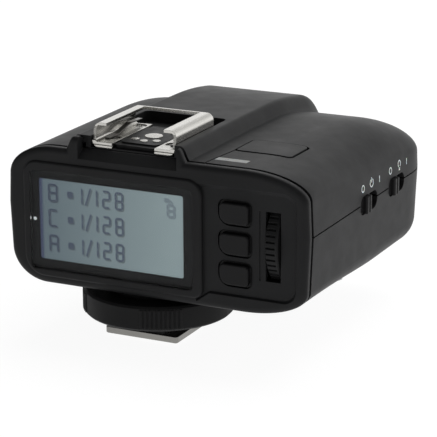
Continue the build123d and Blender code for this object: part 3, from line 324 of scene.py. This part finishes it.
def circuit_board():
    """Green solder mask with faint tracks."""
    surface = Surface("circuit_board", roughness=0.3)
    tracks = surface.tree.nodes.new("ShaderNodeTexBrick")
    tracks.inputs["Scale"].default_value = 420
    tracks.inputs["Mortar Size"].default_value = 0.04
    surface.tree.links.new(surface.place, tracks.inputs["Vector"])
    surface.link(surface.blend(tracks.outputs["Fac"], (0.012, 0.085, 0.03), (0.03, 0.15, 0.06)), "Base Color")
    surface.link(surface.span(surface.noise(900, 2), 0.25, 0.4), "Roughness")
    surface.bump(tracks.outputs["Fac"], 0.02 * MM, 0.3)
    return surface.finish()


def cell_jacket():
    """Plain cell jacket: dark body with a copper-coloured end band and a steel button."""
    surface = Surface("cell_jacket", roughness=0.25, Coat_Weight=0.3)
    split = surface.tree.nodes.new("ShaderNodeSeparateXYZ")
    surface.tree.links.new(surface.place, split.inputs["Vector"])
    band = surface.position(split.outputs["X"], CELL_BAND_X)
    body = surface.blend(band, (0.018, 0.020, 0.024), (0.42, 0.20, 0.08))
    scuffs = surface.span(surface.noise(500, 3), 0.0, 0.2)
    surface.link(surface.blend(scuffs, body, (0.05, 0.05, 0.05)), "Base Color")
    surface.link(surface.span(surface.noise(900, 2), 0.2, 0.35), "Roughness")
    return surface.finish()


BRUSHED_Y = (1.0, 0.06, 1.0)

MATERIALS = {
    "shell_plastic": moulded("shell_plastic", (0.0128, 0.0130, 0.0136), (0.0154, 0.0156, 0.0163)),
    "key_plastic": moulded(
        "key_plastic", (0.0100, 0.0100, 0.0104), (0.0124, 0.0124, 0.0129), depth=0.003, rough=(0.38, 0.44)
    ),
    "black_nylon": moulded(
        "black_nylon", (0.0075, 0.0075, 0.0078), (0.0110, 0.0110, 0.0114), grain=3000, rough=(0.38, 0.52)
    ),
    "component_black": moulded("component_black", (0.012, 0.012, 0.012), (0.024, 0.024, 0.024)),
    "window_acrylic": clear_window(),
    "lcd_glass": display_glass(),
    "white_plastic": translucent("white_plastic", (0.26, 0.27, 0.26)),
    "lens_red": lens_red(),
    "led_epoxy": translucent("led_epoxy", (0.62, 0.10, 0.09), rough=(0.08, 0.15)),
    "nickel_steel": metal("nickel_steel", (0.50, 0.49, 0.46), (0.58, 0.57, 0.54), brush=BRUSHED_Y),
    "steel": metal("steel", (0.36, 0.36, 0.37), (0.52, 0.52, 0.53), rough=(0.25, 0.42)),
    "gold_contact": metal("gold_contact", (0.60, 0.42, 0.16), (0.86, 0.68, 0.36), rough=(0.12, 0.26)),
    "circuit_board": circuit_board(),
    "cell_jacket": cell_jacket(),
}


# The camera foot is bare nickel painted darker, as painted shade for the darker floor it would reflect near
# its base; the shoe's leaves are dark spring steel, and the ring is matt
NODE_MATERIALS = {
    # Darker copy of the nickel: painted shade standing in for the dim floor reflected near the foot's base.
    "foot_plate": metal(
        "nickel_painted_darker", (0.22, 0.216, 0.205), (0.27, 0.265, 0.25), rough=(0.30, 0.36), brush=BRUSHED_Y
    ),
    "shoe_springs": metal("spring_steel", (0.10, 0.095, 0.09), (0.16, 0.155, 0.145), rough=(0.30, 0.36)),
    "lock_ring": moulded(
        "ring_nylon", (0.0125, 0.0125, 0.0128), (0.0150, 0.0150, 0.0154), rough=(0.50, 0.58), specular=0.08
    ),
}


def dress_nodes():
    """Give each CAD node the material of its slot, or its own where it has one."""
    for part in frame["record"]["subparts"]:
        piece = nodes[part["node"]]
        piece.data.materials.clear()
        piece.data.materials.append(NODE_MATERIALS.get(part["node"], MATERIALS[part["material_slot"]]))


dress_nodes()


# ---------------------------------------------------------------- mesh helpers
def new_piece(name, bm, slot, body="housing", material=None):
    """Turn a bmesh, drawn in the row frame, into a piece that rides on a body."""
    mesh = bpy.data.meshes.new(name)
    bm.normal_update()
    bm.to_mesh(mesh)
    bm.free()
    piece = bpy.data.objects.new(name, mesh)
    bpy.context.scene.collection.objects.link(piece)
    mesh.materials.append(material or MATERIALS[slot])
    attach(piece, body)
    return piece


def prism(bm, outline, y_front, y_back):
    """Add a closed prism whose (x, z) outline runs from y_front to y_back; all in millimetres."""
    front = [bm.verts.new(Vector((x, y_front, z)) * MM) for x, z in outline]
    back = [bm.verts.new(Vector((x, y_back, z)) * MM) for x, z in outline]
    count = len(outline)
    bm.faces.new(front)
    bm.faces.new(list(reversed(back)))
    for index in range(count):
        following = (index + 1) % count
        bm.faces.new((front[following], front[index], back[index], back[following]))


def rounded_rectangle(x, z, radius, steps=8):
    """Outline of a rounded rectangle, counter-clockwise from its lower right corner."""
    corners = (
        (x[1] - radius, z[0] + radius, -90), (x[1] - radius, z[1] - radius, 0),
        (x[0] + radius, z[1] - radius, 90), (x[0] + radius, z[0] + radius, 180),
    )
    outline = []
    for cx, cz, start in corners:
        for step in range(steps + 1):
            angle = math.radians(start + 90 * step / steps)
            outline.append((cx + radius * math.cos(angle), cz + radius * math.sin(angle)))
    return outline


def frame_prism(bm, outer, inner, y_front, y_back):
    """Add a closed ring between two outlines with equally many points."""
    loops = []
    for y, outline in ((y_front, outer), (y_front, inner), (y_back, inner), (y_back, outer)):
        loops.append([bm.verts.new(Vector((x, y, z)) * MM) for x, z in outline])
    count = len(outer)
    for ring in range(4):
        near, far = loops[ring], loops[(ring + 1) % 4]
        for index in range(count):
            following = (index + 1) % count
            bm.faces.new((near[index], near[following], far[following], far[index]))


# ---------------------------------------------------------------- display
def display_print():
    """Black border printed behind the window, and its status dot."""
    window_low, window_high = (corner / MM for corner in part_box("display_window"))
    y_front, y_back = (window_high.y + depth for depth in PRINT_DEPTH)
    outer = rounded_rectangle((window_low.x, window_high.x), (window_low.z, window_high.z), WINDOW_CORNER_R)
    inner = rounded_rectangle(APERTURE_X, APERTURE_Z, APERTURE_CORNER_R)
    border = bmesh.new()
    frame_prism(border, outer, inner, y_front, y_back)
    new_piece("window_print", border, "key_plastic")
    dot = bmesh.new()
    circle = [
        (STATUS_DOT[0] + STATUS_DOT_R * math.cos(a), STATUS_DOT[1] + STATUS_DOT_R * math.sin(a))
        for a in (2 * math.pi * step / STATUS_DOT_POINTS for step in range(STATUS_DOT_POINTS))
    ]
    prism(dot, circle, y_front + DOT_DEPTH[0], y_front + DOT_DEPTH[1])
    # The printed white dot glows a little, as painted light.
    white_print_painted_glow = translucent("white_print_painted_glow", (0.85, 0.86, 0.84), 0.35)
    new_piece("window_dot", dot, "white_plastic", material=white_print_painted_glow)


def bar(start, end, width):
    """Outline of a stroke with pointed ends between two (x, z) points."""
    start, end = Vector(start), Vector(end)
    along = (end - start).normalized()
    side = Vector((-along.y, along.x)) * width / 2
    tip = along * width / 2
    points = (
        start, start + tip - side, end - tip - side, end, end - tip + side, start + tip + side,
    )
    return [tuple(point) for point in points]


def digit_bars(glyph, left, middle, height=DIGIT_HEIGHT, width=DIGIT_WIDTH):
    """Strokes of a seven-segment glyph whose left edge and centre height are given."""
    x0, x1 = left + STROKE / 2, left + width - STROKE / 2
    z0, z1 = middle - height / 2 + STROKE / 2, middle + height / 2 - STROKE / 2
    ends = {
        "a": ((x0, z1), (x1, z1)), "b": ((x1, z1), (x1, middle)), "c": ((x1, middle), (x1, z0)),
        "d": ((x0, z0), (x1, z0)), "e": ((x0, middle), (x0, z0)), "f": ((x0, z1), (x0, middle)),
        "g": ((x0, middle), (x1, middle)),
    }
    return [bar(*ends[segment], STROKE) for segment in SEGMENTS[glyph]]


def display_strokes():
    """Outlines of three rows, each a group mark, a mode square and a power fraction, and a small label."""
    strokes = []
    for mark, middle in zip("bCA", DISPLAY_ROWS_Z):
        strokes += digit_bars(mark, MARK_X, middle, width=MARK_WIDTH)
        low, high = middle - DIGIT_HEIGHT / 2, middle + DIGIT_HEIGHT / 2
        square_z = (middle - SQUARE_HALF, middle + SQUARE_HALF)
        strokes.append(rounded_rectangle(SQUARE_X, square_z, SQUARE_CORNER_R))
        strokes.append(bar((SLASH_X[0], low), (SLASH_X[1], high), STROKE))
        for digit, left in zip("1128", DIGITS_X):
            strokes += digit_bars(digit, left, middle)
    strokes += digit_bars("8", LABEL_FIGURE_X, LABEL_FIGURE_Z, LABEL_FIGURE_HEIGHT, LABEL_FIGURE_WIDTH)
    for z, width in LABEL_BARS:
        strokes.append(bar((LABEL_BARS_X, z), (LABEL_BARS_X + width, z), LABEL_BAR_STROKE))
    return strokes


def lcd_ink(name, shades):
    """Dim ink that glows as painted light, and whose shade changes from left to right across the display."""
    ink = Surface(name, roughness=0.4, Specular_IOR_Level=0.1, Base_Color=(0.0, 0.0, 0.0, 1.0))
    split = ink.tree.nodes.new("ShaderNodeSeparateXYZ")
    ink.tree.links.new(ink.place, split.inputs["Vector"])
    left, middle, right = shades
    digits = ink.blend(ink.position(split.outputs["X"], MARKS_TO_DIGITS_X), left, middle)
    shade = ink.blend(ink.position(split.outputs["X"], DIGITS_TO_LABEL_X), digits, right)
    # The figures glow too, as painted light like the panel behind them.
    ink.link(ink.blend(ink.span(ink.noise(600, 3), 0.0, 0.15), shade, (0.10, 0.13, 0.16)), "Emission Color")
    ink.shader.inputs["Emission Strength"].default_value = DISPLAY_PAINTED_GLOW
    return ink.finish()


def display_rows():
    """The display's figures, and the soft shadow they cast on the layer behind."""
    panel_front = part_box("lcd_panel")[0].y / MM
    figures, shadows = bmesh.new(), bmesh.new()
    for outline in display_strokes():
        prism(figures, outline, panel_front + FIGURE_DEPTH[0], panel_front + FIGURE_DEPTH[1])
        dropped = [(x + SHADOW_DROP, z - SHADOW_DROP) for x, z in outline]
        prism(shadows, dropped, panel_front + SHADOW_DEPTH[0], panel_front + SHADOW_DEPTH[1])
    figure_ink = lcd_ink("lcd_figures", ((0.060, 0.073, 0.108), (0.082, 0.102, 0.142), (0.185, 0.23, 0.26)))
    shadow_ink = lcd_ink("lcd_shadow", ((0.085, 0.108, 0.130), (0.128, 0.158, 0.170), (0.20, 0.25, 0.27)))
    new_piece("lcd_segments", figures, "lcd_glass", material=figure_ink)
    new_piece("lcd_shadows", shadows, "lcd_glass", material=shadow_ink)


def shell_side():
    """A function that drops a (y, z) point in millimetres onto the right side of the upper shell."""
    shell = nodes["upper_shell"]
    corners = [shell.matrix_world @ vertex.co for vertex in shell.data.vertices]
    surface = BVHTree.FromPolygons(corners, [face.vertices for face in shell.data.polygons])
    outside = cad_bounds[1][0] + 10 * MM

    def drop(y, z, height):
        hit = surface.ray_cast(Vector((outside, y * MM, z * MM)), Vector((-1, 0, 0)))[0]
        return hit + Vector((height * MM, 0, 0))

    return drop


def band(bm, path, drop, closed=False):
    """Add an inked line of constant width along a (y, z) path on the shell."""
    points = [Vector(point) for point in path]
    count = len(points)
    loops = []
    for index, point in enumerate(points):
        before = points[index - 1] if index or closed else point
        after = points[(index + 1) % count] if index < count - 1 or closed else point
        along = (after - before).normalized()
        side = Vector((-along.y, along.x)) * SYMBOL_STROKE / 2
        left, right = point + side, point - side
        corners = ((left, INK_PROUD), (right, INK_PROUD), (right, -INK_SUNK), (left, -INK_SUNK))
        loops.append([bm.verts.new(drop(place.x, place.y, height)) for place, height in corners])
    for index in range(count if closed else count - 1):
        near, far = loops[index], loops[(index + 1) % count]
        for edge in range(4):
            following = (edge + 1) % 4
            bm.faces.new((near[edge], near[following], far[following], far[edge]))
    if not closed:
        bm.faces.new(list(reversed(loops[0])))
        bm.faces.new(loops[-1])


def arc(centre, radius, start=0, stop=360, steps=28):
    """Points on a circle; angles in degrees from the +Y side. A full turn leaves out its last point."""
    last = steps if stop - start < 360 else steps - 1
    angles = [math.radians(start + (stop - start) * step / steps) for step in range(last + 1)]
    return [(centre[0] + radius * math.cos(a), centre[1] + radius * math.sin(a)) for a in angles]


def power_symbol(bm, drop):
    """An open ring with an upright bar in its gap."""
    y, z = POWER_SYMBOL
    band(bm, arc(POWER_SYMBOL, ICON_SIZE / 2, 125, 415), drop)
    band(bm, ((y, z), (y, z + 0.65 * ICON_SIZE)), drop)


def lamp_symbol(bm, drop):
    """A round bulb above two short lines."""
    y, z = LAMP_SYMBOL
    band(bm, arc((y, z + 0.1 * ICON_SIZE), 0.4 * ICON_SIZE, -60, 240), drop)
    for low in (0.45, 0.65):
        level = z - low * ICON_SIZE
        band(bm, ((y - 0.2 * ICON_SIZE, level), (y + 0.2 * ICON_SIZE, level)), drop)


def switch_symbols():
    """Off, on, power and lamp symbols printed above the slide switches."""
    drop = shell_side()
    half = SYMBOL_SIZE / 2
    ink = bmesh.new()
    for place in OFF_SYMBOLS:
        band(ink, arc(place, half), drop, closed=True)
    for y, z in ON_SYMBOLS:
        band(ink, ((y, z - half), (y, z + half)), drop)
    power_symbol(ink, drop)
    lamp_symbol(ink, drop)
    bmesh.ops.recalc_face_normals(ink, faces=ink.faces)
    new_piece("switch_symbols", ink, "white_plastic", material=translucent("grey_print", (0.80, 0.80, 0.78)))


display_print()
display_rows()
switch_symbols()


# ---------------------------------------------------------------- stage, light and camera
def floor():
    """Pale floor that glows evenly, so that it shows hardly any shadow."""
    low = Vector(cad_bounds[0])
    bm = bmesh.new()
    bmesh.ops.create_grid(bm, x_segments=8, y_segments=8, size=FLOOR_HALF)
    bmesh.ops.translate(bm, vec=(0, 0, low.z - FLOOR_DROP), verts=bm.verts)
    mesh = bpy.data.meshes.new("floor")
    bm.to_mesh(mesh)
    bm.free()
    piece = bpy.data.objects.new("floor", mesh)
    bpy.context.scene.collection.objects.link(piece)
    surface = Surface("pale_floor", roughness=0.9, Base_Color=FLOOR_GREY, Specular_IOR_Level=0.0)
    surface.shader.inputs["Emission Color"].default_value = (1.0, 1.0, 1.0, 1.0)
    surface.shader.inputs["Emission Strength"].default_value = FLOOR_GLOW
    mesh.materials.append(surface.finish())


def softbox(name, place, target, size, power):
    """Rectangular area light at place, aimed at target."""
    data = bpy.data.lights.new(name, "AREA")
    data.shape = "RECTANGLE"
    data.size, data.size_y = size
    data.energy = power
    light = bpy.data.objects.new(name, data)
    light.location = place
    light.rotation_euler = (Vector(target) - Vector(place)).to_track_quat("-Z", "Y").to_euler()
    light.visible_camera = False
    bpy.context.scene.collection.objects.link(light)


def ramp(tree, value, start, end, low, high):
    """Map a value that runs from start to end onto low to high, smoothly."""
    node = tree.nodes.new("ShaderNodeMapRange")
    node.interpolation_type = "SMOOTHSTEP"
    for socket, number in (("From Min", start), ("From Max", end), ("To Min", low), ("To Max", high)):
        node.inputs[socket].default_value = number
    tree.links.new(value, node.inputs["Value"])
    return node.outputs["Result"]


def product(tree, first, second):
    node = tree.nodes.new("ShaderNodeMath")
    node.operation = "MULTIPLY"
    tree.links.new(first, node.inputs[0])
    tree.links.new(second, node.inputs[1])
    return node.outputs["Value"]


def surroundings():
    """Studio that is bright behind the object, near the horizon, and dark in front and to the left."""
    world = bpy.data.worlds.new("studio")
    bpy.context.scene.world = world
    world.use_nodes = True
    tree = world.node_tree
    split = tree.nodes.new("ShaderNodeSeparateXYZ")
    tree.links.new(tree.nodes.new("ShaderNodeTexCoord").outputs["Generated"], split.inputs["Vector"])
    behind = ramp(tree, split.outputs["Y"], -0.1, 0.9, STUDIO_DARK, STUDIO_BRIGHT)
    above = ramp(tree, split.outputs["Z"], 0.15, 0.75, 1.0, STUDIO_TOP_SHARE)
    across = ramp(tree, split.outputs["X"], -0.95, -0.35, STUDIO_LEFT_SHARE, 1.0)
    background = tree.nodes["Background"]
    background.inputs["Color"].default_value = (1.0, 1.0, 1.0, 1.0)
    tree.links.new(product(tree, product(tree, behind, above), across), background.inputs["Strength"])


def lights():
    surroundings()
    softbox("overhead", OVERHEAD_PLACE, LIGHT_TARGET, OVERHEAD_SIZE, OVERHEAD_WATTS)
    softbox("right_side", RIGHT_PLACE, LIGHT_TARGET, RIGHT_SIZE, RIGHT_WATTS)


def camera():
    sin_az, cos_az = math.sin(CAMERA_AZIMUTH), math.cos(CAMERA_AZIMUTH)
    sin_el, cos_el = math.sin(CAMERA_ELEVATION), math.cos(CAMERA_ELEVATION)
    back = Vector((sin_az * cos_el, -cos_az * cos_el, sin_el))
    right = Vector((cos_az, sin_az, 0))
    up = back.cross(right)
    place = back * CAMERA_DISTANCE + right * CAMERA_OFFSET_RIGHT + up * CAMERA_OFFSET_UP
    turned_right = math.cos(CAMERA_ROLL) * right - math.sin(CAMERA_ROLL) * up
    turned_up = math.sin(CAMERA_ROLL) * right + math.cos(CAMERA_ROLL) * up
    rotation = Matrix((turned_right, turned_up, back)).transposed()
    data = bpy.data.cameras.new("camera")
    data.lens = CAMERA_LENS_MM
    data.clip_start, data.clip_end = 0.01, 50
    piece = bpy.data.objects.new("camera", data)
    piece.matrix_world = Matrix.Translation(place) @ rotation.to_4x4()
    bpy.context.scene.collection.objects.link(piece)
    bpy.context.scene.camera = piece


floor()
lights()
camera()
bpy.context.scene.view_settings.view_transform = "Standard"
